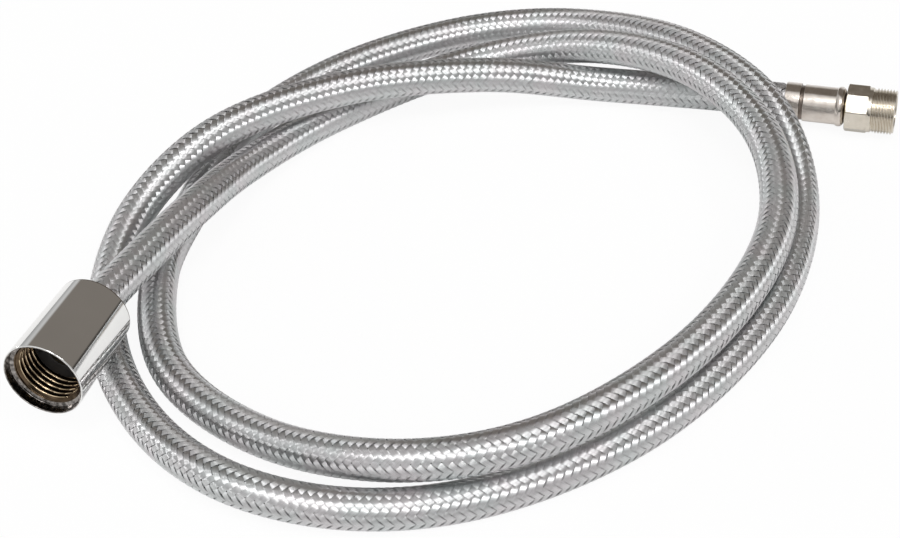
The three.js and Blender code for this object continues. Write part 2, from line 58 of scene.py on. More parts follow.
# The braid: ribbons of wires, half of them wound each way
RIBBONS_EACH_WAY = 12
LEAD = 31.7 * MM  # along the hose, for one turn of a ribbon
WIRES = 7
WIRE_PITCH = 0.265 * MM
WIRE_RADIUS = 0.13 * MM
WIRE_VALLEY = 0.075 * MM  # of the furrow between two wires, over the ribbon's middle
WEAVE_RADIUS = 5.62 * MM  # of the middle of the weave
WEAVE_RISE = 0.24 * MM  # of a ribbon over or under the middle of the weave
WEAVE_SQUARENESS = 1.1  # how flat a ribbon runs between its rises and falls
RIBBON_CROWN = 0.06 * MM  # of its middle over its edges
UNDERSIDE_SHARE = 0.7  # of a ribbon's width, on its underside
CROSSINGS_PER_FLOAT = 2
RIGHT_FLOAT_MIDDLE = 0.5  # where a ribbon that is wound to the right is highest, in crossings
LEFT_FLOAT_MIDDLE = 2.5
STEPS_PER_WAVE = 12
WANDER_ANGLE = math.radians(0.6)  # how far ribbons stray from an even spacing
WANDER_LENGTH = 18 * MM
WANDER_SEED = 7
WIDTH_SPREAD = 0.03
WIRE_TONE_LENGTH = 9 * MM  # over which a wire's tone changes
WIRE_TONE_STEP = 1.7  # in the map of tones, from one wire to the next
RIBBON_TONE_STEP = 29.3

# The swivel nut, from its mouth at z = 0 back to negative z
REACH_OF_NUT = 17.6 * MM  # from the hose's end face to the mouth
NUT_LENGTH = 33 * MM
NUT_MOUTH_RADIUS = 12.35 * MM
NUT_REAR_RADIUS = 11.5 * MM
MOUTH_BORE_RADIUS = 11.7 * MM
MOUTH_BORE_DEPTH = 2.7 * MM
SHOULDER_RADIUS = 10.6 * MM  # of the inner edge of the step round the thread
SHOULDER_DEPTH = 3.1 * MM
LEAD_IN_DEPTH = 4.2 * MM
NUT_BORE_RADIUS = 9.32 * MM
THROAT_DEPTH = 16.8 * MM
THROAT_RADIUS = 7.1 * MM
RING_POCKET_DEPTH = 27.6 * MM
RING_POCKET_RADIUS = 9.6 * MM
RIM_SHARE = 0.45  # of the mouth's wall that carries the same painted shade as the recess
REAR_RIM = 0.3 * MM  # of the rear end that is finished like the outside
REAR_LIP_RADIUS = 9.1 * MM
REAR_LIP_LENGTH = 1 * MM
NUT_THREAD_PITCH = 1.814 * MM
NUT_THREAD_DEPTH = 1.16 * MM
NUT_THREAD_END = 14.2 * MM
NUT_THREAD_FADE = 0.9 * MM
NUT_SIDES = 192
CREST_BRASS_HEIGHT = 0.16 * MM  # of the thread's height from its crest that keeps the brass's own colour, free of the painted shade

# The guide ring and the seal washer in the nut
FIT_GAP = 0.3 * MM
RING_BORE_RADIUS = 6.45 * MM
RING_BODY_LENGTH = 3.8 * MM
WASHER_REAR = 14.2 * MM  # below the mouth
WASHER_THICKNESS = 2 * MM
WASHER_BORE_RADIUS = 4.5 * MM
RING_SIDES = 96

# The connector's sleeve, from its swivel end at z = 0 back to negative z
REACH_OF_CONNECTOR = 4.1 * MM  # from the hose's end face to the sleeve's swivel end
SLEEVE_LENGTH = 20.1 * MM
SLEEVE_WALL = 0.5 * MM
SLEEVE_RADIUS = 6.2 * MM
COLLAR_RADIUS = 6.45 * MM
COLLAR_LENGTH = 5 * MM
GROOVE_LENGTH = 1.3 * MM
GROOVE_RADIUS = 5.8 * MM
GROOVE_SLOPE = 0.15 * MM  # along the axis, of each side of the groove
BULGE_LENGTH = 3 * MM
BULGE_LEAD = 0.3 * MM
BULGE_RISE = 0.55 * MM
BULGE_FULLNESS = 0.7  # power of the sine that the rise follows
BULGE_DROP = 1.1 * MM  # of the swivel end under the sleeve's body
BULGE_DROP_POWER = 4
BULGE_STEPS = 18
SHADED_END = 0.35 * MM  # of the bulge, at its swivel end, that carries painted shade
SPIGOT_HOLE_RADIUS = 4.3 * MM

# The connector, from the sleeve's swivel end at z = 0 outwards
FLAT_RADIUS = 7.5 * MM  # half the width across flats
FLATS = 8
CORNER_RADIUS = 8.05 * MM
FLAT_STEPS = (0, 4.5, 9, 14, 18)  # angles across one half of a flat, in degrees
CORNER_MARGIN = 0.5  # of the last angle on a flat before its corner, in degrees
WRENCH_START = 0.35 * MM
WRENCH_END = 7.6 * MM
BEVEL_LENGTH = 0.62 * MM
BEVEL_RADIUS = 8.74 * MM
BEVEL_STEPS = 4
CONNECTOR_COLLAR_END = 9.3 * MM
CONNECTOR_FRONT = 16.5 * MM
CONNECTOR_SHOULDER = 9.2 * MM  # in its bore, clear of the spigot's end
CONNECTOR_BORE_RADIUS = 5.5 * MM
MALE_THREAD_RADIUS = 7.5 * MM
MALE_THREAD_PITCH = 1 * MM
MALE_THREAD_DEPTH = 0.61 * MM
THREAD_CHAMFER = 0.6 * MM

# How a thread's groove is shaped, as shares of its pitch
CREST_SHARE = 0.14
ROOT_SHARE = 0.2
THREAD_STEPS = 16  # of the surface in each pitch

# Edges
HAIR_EDGE = 0.1 * MM
FINE_EDGE = 0.15 * MM
SMALL_EDGE = 0.2 * MM
SOFT_EDGE = 0.25 * MM
ROUND_EDGE = 0.3 * MM
NUT_REAR_EDGE = 0.6 * MM
ARC_STEP = math.radians(20)
ARC_ROOM = 0.4  # share of the shorter side that an arc may take
NEARLY_STRAIGHT = math.radians(88)  # half of a corner's angle from which it stays as it is
HOLD = 0.06 * MM  # from an arc's end to the point that keeps the side beyond it flat
HOLD_SHARE = 5  # the hold takes no more than the arc's room divided by this

# The camera
CAMERA_PLACE = (-0.013, -0.4695, 0.385)
CAMERA_ELEVATION = 40  # how far it looks down, in degrees
CAMERA_ROLL = 5
CAMERA_LENS = 76
SENSOR_WIDTH = 36
NEAREST_SEEN = 0.01
FARTHEST_SEEN = 50

# ---------------------------------------------------------------- camera


def make_camera():
    data = bpy.data.cameras.new("camera")
    data.lens = CAMERA_LENS
    data.sensor_width = SENSOR_WIDTH
    data.sensor_fit = "HORIZONTAL"
    data.clip_start = NEAREST_SEEN
    data.clip_end = FARTHEST_SEEN
    camera = bpy.data.objects.new("camera", data)
    tilt = Matrix.Rotation(math.radians(90 - CAMERA_ELEVATION), 4, "X")
    roll = Matrix.Rotation(math.radians(-CAMERA_ROLL), 4, "Z")
    camera.matrix_world = Matrix.Translation(CAMERA_PLACE) @ tilt @ roll
    bpy.context.scene.collection.objects.link(camera)
    bpy.context.scene.camera = camera


make_camera()

# ---------------------------------------------------------------- meshes


def unit(vectors):
    return vectors / np.linalg.norm(vectors, axis=-1, keepdims=True)


def skin(name, rows, closes=False):
    """A mesh over rows of points, each a closed ring. It closes on itself, or each end has a cap."""
    count, sides = rows.shape[:2]
    row = np.arange(count if closes else count - 1)[:, None]
    side = np.arange(sides)[None, :]
    after = (row + 1) % count
    beside = (side + 1) % sides
    corners = [row * sides + side, row * sides + beside, after * sides + beside, after * sides + side]
    quads = np.stack(corners, axis=-1).reshape(-1, 4)
    points = rows.reshape(-1, 3)
    a, b, c = (points[quads[:, k]] - points[0] for k in (0, 1, 2))
    inside_out = np.einsum("ij,ij->i", a, np.cross(b, c)).sum() < 0
    if inside_out:
        quads = quads[:, ::-1]
    loops = [quads.ravel()]
    starts = [4 * np.arange(len(quads))]
    if not closes:
        first = np.arange(sides)
        for cap, turned_over in ((first, not inside_out), (first + (count - 1) * sides, inside_out)):
            starts.append([sum(len(part) for part in loops)])
            loops.append(cap[::-1] if turned_over else cap)
    loops = np.concatenate(loops)
    starts = np.concatenate(starts)
    mesh = bpy.data.meshes.new(name)
    mesh.vertices.add(len(points))
    mesh.vertices.foreach_set("co", points.ravel())
    mesh.loops.add(len(loops))
    mesh.loops.foreach_set("vertex_index", loops.astype(np.int32))
    mesh.polygons.add(len(starts))
    mesh.polygons.foreach_set("loop_start", starts.astype(np.int32))
    mesh.update(calc_edges=True)
    mesh.shade_smooth()
    return mesh


def corner_vertices(mesh):
    vertices = np.empty(len(mesh.loops), np.int32)
    mesh.loops.foreach_get("vertex_index", vertices)
    return vertices


def show(name, mesh, body, materials, place=None, stands_for=()):
    """Puts a mesh in the scene as a piece that rides on a body."""
    piece = bpy.data.objects.new(name, mesh)
    if place is not None:
        piece.matrix_world = place
    bpy.context.scene.collection.objects.link(piece)
    for material in materials:
        mesh.materials.append(material)
    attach(piece, body)
    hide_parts(*stands_for)
    return piece


# ---------------------------------------------------------------- turned shapes


def eased(outline):
    """Turns the corners of a closed outline of (radius, z, ease) into arcs of radius ease."""
    corners = np.array([corner[:2] for corner in outline])
    points = []
    for k, corner in enumerate(corners):
        ease = outline[k][2]
        back = corners[k - 1] - corner
        on = corners[(k + 1) % len(corners)] - corner
        room = ARC_ROOM * min(np.linalg.norm(back), np.linalg.norm(on))
        back, on = unit(back), unit(on)
        half = math.acos(np.clip(back.dot(on), -1, 1)) / 2
        if ease == 0 or half > NEARLY_STRAIGHT:
            points.append(corner)
            continue
        reach = min(ease / math.tan(half), room)
        hold = min(HOLD, room / HOLD_SHARE)
        middle = corner + unit(back + on) * reach / math.cos(half)
        turn = math.pi - 2 * half
        steps = max(2, math.ceil(turn / ARC_STEP))
        points.append(corner + back * (reach + hold))
        for step in range(steps + 1):
            share = step / steps
            from_start = (back * reach + corner - middle) * math.sin((1 - share) * turn)
            from_end = (on * reach + corner - middle) * math.sin(share * turn)
            points.append(middle + (from_start + from_end) / math.sin(turn))
        points.append(corner + on * (reach + hold))
    return np.array(points)


def refined(points, low, high, least_radius, step):
    """Adds points along an outline's sides between two heights and beyond a radius."""
    result = []
    for start, end in zip(points, np.roll(points, -1, axis=0)):
        heights = sorted((start[1], end[1]))
        picked = low <= heights[0] and heights[1] <= high and min(start[0], end[0]) >= least_radius
        count = math.ceil(np.linalg.norm(end - start) / step) if picked else 1
        result += [start + (end - start) * k / count for k in range(count)]
    return np.array(result)


def round_angles(sides):
    return np.arange(sides) / sides * 2 * math.pi


def turned(name, points, angles, cut=None):
    """A body of revolution round z. A cut changes the radius, given the radius, z and the angle."""
    radius, z = np.broadcast_arrays(points[None, :, 0], points[None, :, 1])
    angle = angles[:, None]
    radius = np.repeat(radius, len(angles), axis=0)
    z = np.repeat(z, len(angles), axis=0)
    if cut:
        radius = cut(radius, z, angle)
    rows = np.stack([radius * np.cos(angle), radius * np.sin(angle), z], axis=-1)
    return skin(name, rows, closes=True)


def groove_depth(z, angle, pitch, depth):
    """How deep a right-handed thread is cut: not at a crest, fully at a root."""
    turn = (z / pitch - angle / (2 * math.pi)) % 1
    from_crest = 1 - np.abs(2 * turn - 1)
    return depth * np.clip((from_crest - CREST_SHARE) / (1 - CREST_SHARE - ROOT_SHARE), 0, 1)


# ---------------------------------------------------------------- materials


def new_material(name):
    material = bpy.data.materials.new(name)
    material.use_nodes = True
    tree = material.node_tree
    return material, tree, tree.nodes["Principled BSDF"]


def noise(tree, scale, detail=4.0, stretch=(1, 1, 1), over=None):
    """Noise over the piece's own coordinates, in metres, or over one of its maps."""
    if over:
        where = tree.nodes.new("ShaderNodeUVMap")
        where.uv_map = over
    else:
        where = tree.nodes.new("ShaderNodeTexCoord")
    mapping = tree.nodes.new("ShaderNodeMapping")
    mapping.inputs["Scale"].default_value = stretch
    texture = tree.nodes.new("ShaderNodeTexNoise")
    texture.inputs["Scale"].default_value = scale
    texture.inputs["Detail"].default_value = detail
    tree.links.new(where.outputs["UV" if over else "Object"], mapping.inputs["Vector"])
    tree.links.new(mapping.outputs["Vector"], texture.inputs["Vector"])
    return texture.outputs["Fac"]


def spread(tree, value, low, high, start=0.3, end=0.7):
    """Maps a noise value to a range of numbers."""
    node = tree.nodes.new("ShaderNodeMapRange")
    node.inputs["From Min"].default_value = start
    node.inputs["From Max"].default_value = end
    node.inputs["To Min"].default_value = low
    node.inputs["To Max"].default_value = high
    tree.links.new(value, node.inputs["Value"])
    return node.outputs["Result"]


def tints(tree, value, stops):
    """Maps a noise value to colours, given as (place, colour)."""
    node = tree.nodes.new("ShaderNodeValToRGB")
    ramp = node.color_ramp
    while len(ramp.elements) < len(stops):
        ramp.elements.new(1)
    for element, (place, colour) in zip(ramp.elements, stops):
        element.position = place
        element.color = (*colour, 1)
    tree.links.new(value, node.inputs["Fac"])
    return node.outputs["Color"]


def mixed(tree, kind, factor, first, second):
    """Mixes two colours, each given as a colour or as another node's output."""
    node = tree.nodes.new("ShaderNodeMix")
    node.data_type = "RGBA"
    node.blend_type = kind
    for socket, value in ((node.inputs[0], factor), (node.inputs[6], first), (node.inputs[7], second)):
        if isinstance(value, bpy.types.NodeSocket):
            tree.links.new(value, socket)
        else:
            socket.default_value = (*value, 1) if isinstance(value, tuple) else value
    return node.outputs[2]


def bump(tree, shader, value, depth):
    node = tree.nodes.new("ShaderNodeBump")
    node.inputs["Distance"].default_value = depth
    tree.links.new(value, node.inputs["Height"])
    tree.links.new(node.outputs["Normal"], shader.inputs["Normal"])


def metal(name, stops, rough, patch_scale, marks=None):
    """Metal, patchy in colour and gloss. Marks are the scale, stretch and depth of its relief."""
    material, tree, shader = new_material(name)
    patches = noise(tree, patch_scale)
    shader.inputs["Metallic"].default_value = 1
    tree.links.new(tints(tree, patches, stops), shader.inputs["Base Color"])
    tree.links.new(spread(tree, patches, *rough), shader.inputs["Roughness"])
    if marks:
        scale, stretch, depth = marks
        bump(tree, shader, noise(tree, scale, detail=2, stretch=stretch), depth)
    return material


def soft_material(name, stops, rough, patch_scale, grain):
    """Rubber or plastic, patchy in colour and gloss. Grain is the scale and depth of its relief."""
    material, tree, shader = new_material(name)
    patches = noise(tree, patch_scale)
    tree.links.new(tints(tree, patches, stops), shader.inputs["Base Color"])
    tree.links.new(spread(tree, patches, *rough), shader.inputs["Roughness"])
    scale, depth = grain
    bump(tree, shader, noise(tree, scale), depth)
    return material


def wire_material():
    """Bright steel, cool and warm in patches, with each wire lighter or darker along its run."""
    material, tree, shader = new_material("steel_wire")
    shader.inputs["Metallic"].default_value = 1
    cool, warm = (0.71, 0.73, 0.73), (0.75, 0.73, 0.74)
    patches = tints(tree, noise(tree, 90, detail=2), [(0.35, cool), (0.65, warm)])
    run = noise(tree, 1, detail=1, over="run")
    tones = tints(tree, run, [(0.3, (0.78, 0.78, 0.78)), (0.7, (1, 1, 1))])
    tree.links.new(mixed(tree, "MULTIPLY", 1.0, patches, tones), shader.inputs["Base Color"])
    tree.links.new(spread(tree, run, 0.37, 0.46), shader.inputs["Roughness"])
    tangent = tree.nodes.new("ShaderNodeTangent")
    tangent.direction_type = "UV_MAP"
    tangent.uv_map = "run"
    tree.links.new(tangent.outputs["Tangent"], shader.inputs["Tangent"])
    shader.inputs["Anisotropic"].default_value = 0.9
    shader.inputs["Anisotropic Rotation"].default_value = 0.25
    return material


ROUND_MARKS = (0.02, 0.02, 1)  # marks that run round the axis of a turned piece
EVEN_MARKS = (1, 1, 1)

WIRE = wire_material()
TUBE = soft_material(
    "tube_rubber",
    stops=[(0.3, (0.012, 0.012, 0.013)), (0.7, (0.03, 0.03, 0.03))],
    rough=(0.5, 0.7),
    patch_scale=200,
    grain=(3000, 0.02 * MM),
)
CHROME = metal(
    "chrome_plate",
    stops=[(0.3, (0.84, 0.84, 0.83)), (0.7, (0.88, 0.88, 0.87))],
    rough=(0.03, 0.07),
    patch_scale=60,
)
# Painted shade: the plate in the mouth's recess and on the inner part of its rim is darkened to stand
# for the shade and dark reflection there
NUT_RECESS = metal(
    "plate_with_painted_shade",
    stops=[(0.35, (0.07, 0.065, 0.06)), (0.7, (0.42, 0.39, 0.37))],
    rough=(0.05, 0.2),
    patch_scale=900,
    marks=(1500, EVEN_MARKS, 0.03 * MM),
)
THREAD_CREST = metal(
    "bare_brass",
    stops=[(0.3, (0.62, 0.47, 0.30)), (0.7, (0.80, 0.66, 0.46))],
    rough=(0.16, 0.26),
    patch_scale=300,
    marks=(2500, ROUND_MARKS, 0.01 * MM),
)
# Painted shade: the nut's inside has a brass tint but is darkened far below brass to stand for the
# shade deep in the nut
NUT_INSIDE = metal(
    "brass_with_painted_shade",
    stops=[(0.3, (0.07, 0.048, 0.028)), (0.7, (0.14, 0.10, 0.065))],
    rough=(0.12, 0.22),
    patch_scale=300,
    marks=(2500, ROUND_MARKS, 0.01 * MM),
)
NICKEL = metal(
    "nickel_plate",
    stops=[(0.3, (0.62, 0.57, 0.49)), (0.7, (0.72, 0.67, 0.59))],
    rough=(0.14, 0.28),
    patch_scale=350,
    marks=(700, EVEN_MARKS, 0.02 * MM),
)
SLEEVE = metal(
    "nickel_on_pressed_steel",
    stops=[(0.3, (0.60, 0.54, 0.49)), (0.7, (0.70, 0.65, 0.60))],
    rough=(0.1, 0.22),
    patch_scale=350,
    marks=(800, EVEN_MARKS, 0.03 * MM),
)
# Painted shade: darker nickel in the sleeve's crimp groove and in the gap at its swivel end, where
# shade falls
SLEEVE_GROOVE = metal(
    "nickel_with_painted_shade",
    stops=[(0.3, (0.16, 0.13, 0.11)), (0.7, (0.26, 0.22, 0.19))],
    rough=(0.25, 0.4),
    patch_scale=500,
    marks=(1200, EVEN_MARKS, 0.03 * MM),
)
BRASS = metal(
    "turned_brass",
    stops=[(0.3, (0.60, 0.44, 0.20)), (0.7, (0.74, 0.58, 0.30))],
    rough=(0.2, 0.35),
    patch_scale=300,
    marks=(2500, EVEN_MARKS, 0.02 * MM),
)
SHEET_STEEL = metal(
    "pressed_steel",
    stops=[(0.3, (0.55, 0.55, 0.55)), (0.7, (0.66, 0.66, 0.67))],
    rough=(0.25, 0.4),
    patch_scale=300,
    marks=(2000, EVEN_MARKS, 0.01 * MM),
)
SEAL = soft_material(
    "seal_rubber",
    stops=[(0.3, (0.014, 0.013, 0.013)), (0.7, (0.03, 0.028, 0.027))],
    rough=(0.45, 0.65),
    patch_scale=500,
    grain=(4000, 0.02 * MM),
)
NYLON = soft_material(
    "nylon",
    stops=[(0.3, (0.72, 0.71, 0.66)), (0.7, (0.82, 0.81, 0.77))],
    rough=(0.35, 0.5),
    patch_scale=400,
    grain=(3000, 0.01 * MM),
)

# ---------------------------------------------------------------- the hose's line

# The centre line, from the end face in the swivel nut to the end face in the connector's
# ferrule: over the left side, round the inner turn, round the outer turn, and across to the
# right, over the left side and under both turns.
ROUTE = [
    (-0.1239, -0.0564, 0.0234),
    (-0.1205, -0.0476, 0.0229),
    (-0.1166, -0.0374, 0.0223),
    (-0.0925, 0.01, 0.017),
    (-0.077, 0.0415, 0.009),
    (-0.049, 0.071, LYING),
    (-0.0025, 0.0935, 0.006),
    (0.0405, 0.0835, 0.0165),
    (0.073, 0.054, 0.0235),
    (0.09, 0.0165, 0.022),
    (0.0865, -0.026, 0.0185),
    (0.057, -0.072, 0.0175),
    (0.01, -0.1055, 0.0185),
    (-0.0285, -0.108, 0.0155),
    (-0.0705, -0.085, 0.007),
    (-0.0985, -0.051, LYING),
    (-0.104, -0.0085, 0.0055),
    (-0.0955, 0.027, LYING),
    (-0.0805, 0.0665, LYING),
    (-0.046, 0.097, 0.006),
    (0.0005, 0.1155, 0.0055),
    (0.0385, 0.109, 0.009),
    (0.075, 0.0725, 0.0195),
    (0.096, 0.0375, 0.0175),
    (0.1005, 0.0055, 0.0065),
    (0.0815, -0.048, 0.0055),
    (0.0405, -0.0915, LYING),
    (-0.007, -0.113, LYING),
    (-0.0455, -0.115, 0.006),
    (-0.0795, -0.1025, 0.008),
    (-0.1065, -0.069, LYING),
    (-0.12, -0.024, LYING),
    (-0.1125, 0.0185, 0.0105),
    (-0.087, 0.045, 0.0195),
    (-0.045, 0.0665, 0.019),
    (0.005, 0.074, 0.0145),
    (0.045, 0.0745, 0.006),
    (0.0878, 0.0595, RESTING),
    (0.1047, 0.0535, RESTING),
    (0.1202, 0.048, RESTING),
]
STEPS_PER_POINT = 400


def centre_line(points):
    """A centripetal Catmull-Rom curve through the points."""
    points = np.array(points)
    before = 2 * points[0] - points[1]
    after = 2 * points[-1] - points[-2]
    held = np.vstack([before, points, after])
    root = np.sqrt(np.linalg.norm(np.diff(held, axis=0), axis=1))
    t = np.linspace(0, 1, STEPS_PER_POINT, endpoint=False)[:, None]
    stretches = []
    for k in range(len(points) - 1):
        x0, x1, x2, x3 = held[k : k + 4]
        d0, d1, d2 = root[k : k + 3]
        leave = ((x1 - x0) / d0 - (x2 - x0) / (d0 + d1) + (x2 - x1) / d1) * d1
        enter = ((x2 - x1) / d1 - (x3 - x1) / (d1 + d2) + (x3 - x2) / d2) * d1
        squared = 3 * (x2 - x1) - 2 * leave - enter
        cubed = 2 * (x1 - x2) + leave + enter
        stretches.append(x1 + leave * t + squared * t**2 + cubed * t**3)
    return np.vstack([*stretches, points[-1:]])


LINE = centre_line(ROUTE)
ALONG = np.concatenate([[0], np.cumsum(np.linalg.norm(np.diff(LINE, axis=0), axis=1))])
HOSE_LENGTH = ALONG[-1]


def no_roll_frames(distances):
    """Places on the centre line and two directions square to it that don't twist round it."""
    places = np.stack([np.interp(distances, ALONG, LINE[:, axis]) for axis in range(3)], axis=1)
    forward = unit(np.gradient(places, distances, axis=0))
    first = np.zeros_like(forward)
    direction = unit(np.cross((0, 0, 1), forward[0]))
    for k, ahead in enumerate(forward):
        direction = direction - ahead * direction.dot(ahead)
        direction = direction / np.linalg.norm(direction)
        first[k] = direction
    return places, first, np.cross(forward, first)


def crimp(distances):
    """The hose's radius at each distance, as a share of its free radius."""
    from_ferrule = np.minimum(distances - CRIMP_AT_NUT, HOSE_LENGTH - CRIMP_AT_CONNECTOR - distances)
    free = np.clip(from_ferrule / CRIMP_TAPER, 0, 1)
    return 1 - CRIMP_DEPTH / HOSE_RADIUS * (1 - free * free * (3 - 2 * free))


def end_place(end, outward, reach):
    """A place past one end of the hose, with z pointing away from the hose and y up."""
    left = unit(np.cross((0, 0, 1), outward))
    place = np.eye(4)
    place[:3, 0] = left
    place[:3, 1] = np.cross(outward, left)
    place[:3, 2] = outward
    place[:3, 3] = end + outward * reach
    return Matrix(place.tolist())


NUT_PLACE = end_place(LINE[0], unit(LINE[0] - LINE[1]), REACH_OF_NUT)
CONNECTOR_PLACE = end_place(LINE[-1], unit(LINE[-1] - LINE[-2]), REACH_OF_CONNECTOR)

# ---------------------------------------------------------------- the hose

CROSSING_STEP = LEAD / (2 * RIBBONS_EACH_WAY)  # along the hose
WAVE = 2 * CROSSINGS_PER_FLOAT * CROSSING_STEP
WAVES = round(HOSE_LENGTH / WAVE)
DISTANCES = np.linspace(0, HOSE_LENGTH, WAVES * STEPS_PER_WAVE + 1)
PLACES, FIRST, SECOND = no_roll_frames(DISTANCES)
SQUEEZE = crimp(DISTANCES)


def inner_tube():
    """The black tube under the braid, which shows where ribbons part."""
    angles = round_angles(TUBE_SIDES)
    picked = slice(None, None, TUBE_STEP)
    across = FIRST[picked, None] * np.cos(angles)[None, :, None]
    up = SECOND[picked, None] * np.sin(angles)[None, :, None]
    rows = PLACES[picked, None] + (across + up) * (TUBE_RADIUS * SQUEEZE[picked])[:, None, None]
    return skin("inner_tube", rows), PLACES[picked]


def ribbon_section():
    """Wires side by side, as points across and up from the ribbon's middle, and their wires."""
    half = WIRES * WIRE_PITCH / 2
    points = [(-half, WIRE_VALLEY, 0)]
    for wire in range(WIRES):
        middle = (wire + 0.5) * WIRE_PITCH - half
        points.append((middle, WIRE_RADIUS, wire))
        points.append((middle + WIRE_PITCH / 2, WIRE_VALLEY, wire + 0.5))
    points = [(across, up - RIBBON_CROWN * (across / half) ** 2, wire) for across, up, wire in points]
    under = half * UNDERSIDE_SHARE
    points += [(under, -WIRE_RADIUS, WIRES - 1), (-under, -WIRE_RADIUS, 0)]
    return np.array(points)


SECTION = ribbon_section()
# The section's points that lie in furrows or on its underside
FURROWS = np.append(np.arange(0, 2 * WIRES + 1, 2), [2 * WIRES + 1, 2 * WIRES + 2])
WANDER = np.random.RandomState(WANDER_SEED)


def wander(size):
    """A slow random change along the hose."""
    knots = np.arange(0, HOSE_LENGTH + 2 * WANDER_LENGTH, WANDER_LENGTH)
    return np.interp(DISTANCES, knots, WANDER.normal(0, size, len(knots)))


STRIPS = 32  # that a ribbon's map for baking is laid out in
STRIP_EDGE = 0.06  # empty share of a strip on each side
CAP_SHARE = 0.4  # radius of an end's place on the map, in strips


def part_wires(mesh):
    """Keeps the edges along the furrows sharp, so that light runs round each wire."""
    ends = np.empty(2 * len(mesh.edges), np.int32)
    mesh.edges.foreach_get("vertices", ends)
    first, second = (ends % len(SECTION)).reshape(-1, 2).T
    sharp = mesh.attributes.new("sharp_edge", "BOOLEAN", "EDGE")
    sharp.data.foreach_set("value", (first == second) & np.isin(first, FURROWS))


def run_map(mesh, number):
    """Gives each corner its distance along the ribbon and its wire, counted on over all ribbons."""
    along = np.repeat(DISTANCES / WIRE_TONE_LENGTH, len(SECTION))
    wire = np.tile(SECTION[:, 2], len(DISTANCES)) * WIRE_TONE_STEP + number * RIBBON_TONE_STEP
    vertices = corner_vertices(mesh)
    values = np.stack([along[vertices], wire[vertices]], axis=-1)
    mesh.uv_layers.new(name="run").uv.foreach_set("vector", values.ravel().astype(np.float32))


def strip_map(mesh):
    """A map for baking, with the ribbon cut into strips that lie one above the other."""
    sides = len(SECTION)
    vertices = corner_vertices(mesh)
    quads = (len(DISTANCES) - 1) * sides
    row, side = np.divmod(np.repeat(np.arange(quads), 4), sides)
    corner_row, corner_side = np.divmod(vertices[: 4 * quads], sides)
    length = math.ceil((len(DISTANCES) - 1) / STRIPS)
    strip, start = np.divmod(row, length)
    u = (start + corner_row - row) / length
    round_share = (side + (corner_side - side) % sides) / sides
    v = (strip + STRIP_EDGE + round_share * (1 - 2 * STRIP_EDGE)) / (STRIPS + 1)
    caps = np.arange(len(vertices) - 4 * quads)
    cap_turn = caps / sides * 2 * math.pi
    cap_u = (0.5 + caps // sides + CAP_SHARE * np.cos(cap_turn)) / (STRIPS + 1)
    cap_v = (STRIPS + 0.5 + CAP_SHARE * np.sin(cap_turn)) / (STRIPS + 1)
    values = np.stack([np.concatenate([u, cap_u]), np.concatenate([v, cap_v])], axis=-1)
    mesh.uv_layers.new(name="OFBake").uv.foreach_set("vector", values.ravel().astype(np.float32))


def ribbon(number, way):
    """One ribbon of wires. It goes over two of the ribbons that cross it, then under two."""
    crossing = DISTANCES / CROSSING_STEP
    spacing = 2 * math.pi / RIBBONS_EACH_WAY
    angle = number * spacing + way * crossing * spacing / 2 + wander(WANDER_ANGLE)
    middle = RIGHT_FLOAT_MIDDLE if way > 0 else LEFT_FLOAT_MIDDLE
    phase = (2 * number + way * crossing - middle) * math.pi / CROSSINGS_PER_FLOAT
    wave = np.tanh(WEAVE_SQUARENESS * np.cos(phase)) / math.tanh(WEAVE_SQUARENESS)
    radius = (WEAVE_RADIUS + WEAVE_RISE * wave) * SQUEEZE
    out = FIRST * np.cos(angle)[:, None] + SECOND * np.sin(angle)[:, None]
    places = PLACES + out * radius[:, None]
    ahead = unit(np.gradient(places, DISTANCES, axis=0))
    up = unit(out - ahead * np.sum(out * ahead, axis=1)[:, None])
    across = np.cross(ahead, up) * (1 + wander(WIDTH_SPREAD))[:, None]
    aside = across[:, None] * SECTION[None, :, :1]
    rows = places[:, None] + aside + up[:, None] * SECTION[None, :, 1:2]
    mesh = skin("ribbon", rows)
    part_wires(mesh)
    run_map(mesh, number + (RIBBONS_EACH_WAY if way < 0 else 0))
    strip_map(mesh)
    return mesh


# ---------------------------------------------------------------- the swivel nut's end


def nut_thread(radius, z, angle):
    fade = np.clip((z + NUT_THREAD_END) / NUT_THREAD_FADE, 0, 1)
    groove = groove_depth(z, angle, NUT_THREAD_PITCH, NUT_THREAD_DEPTH) * fade
    inside = (z > -NUT_THREAD_END) & (radius < MOUTH_BORE_RADIUS)
    return np.where(inside, np.maximum(radius, NUT_BORE_RADIUS + groove), radius)


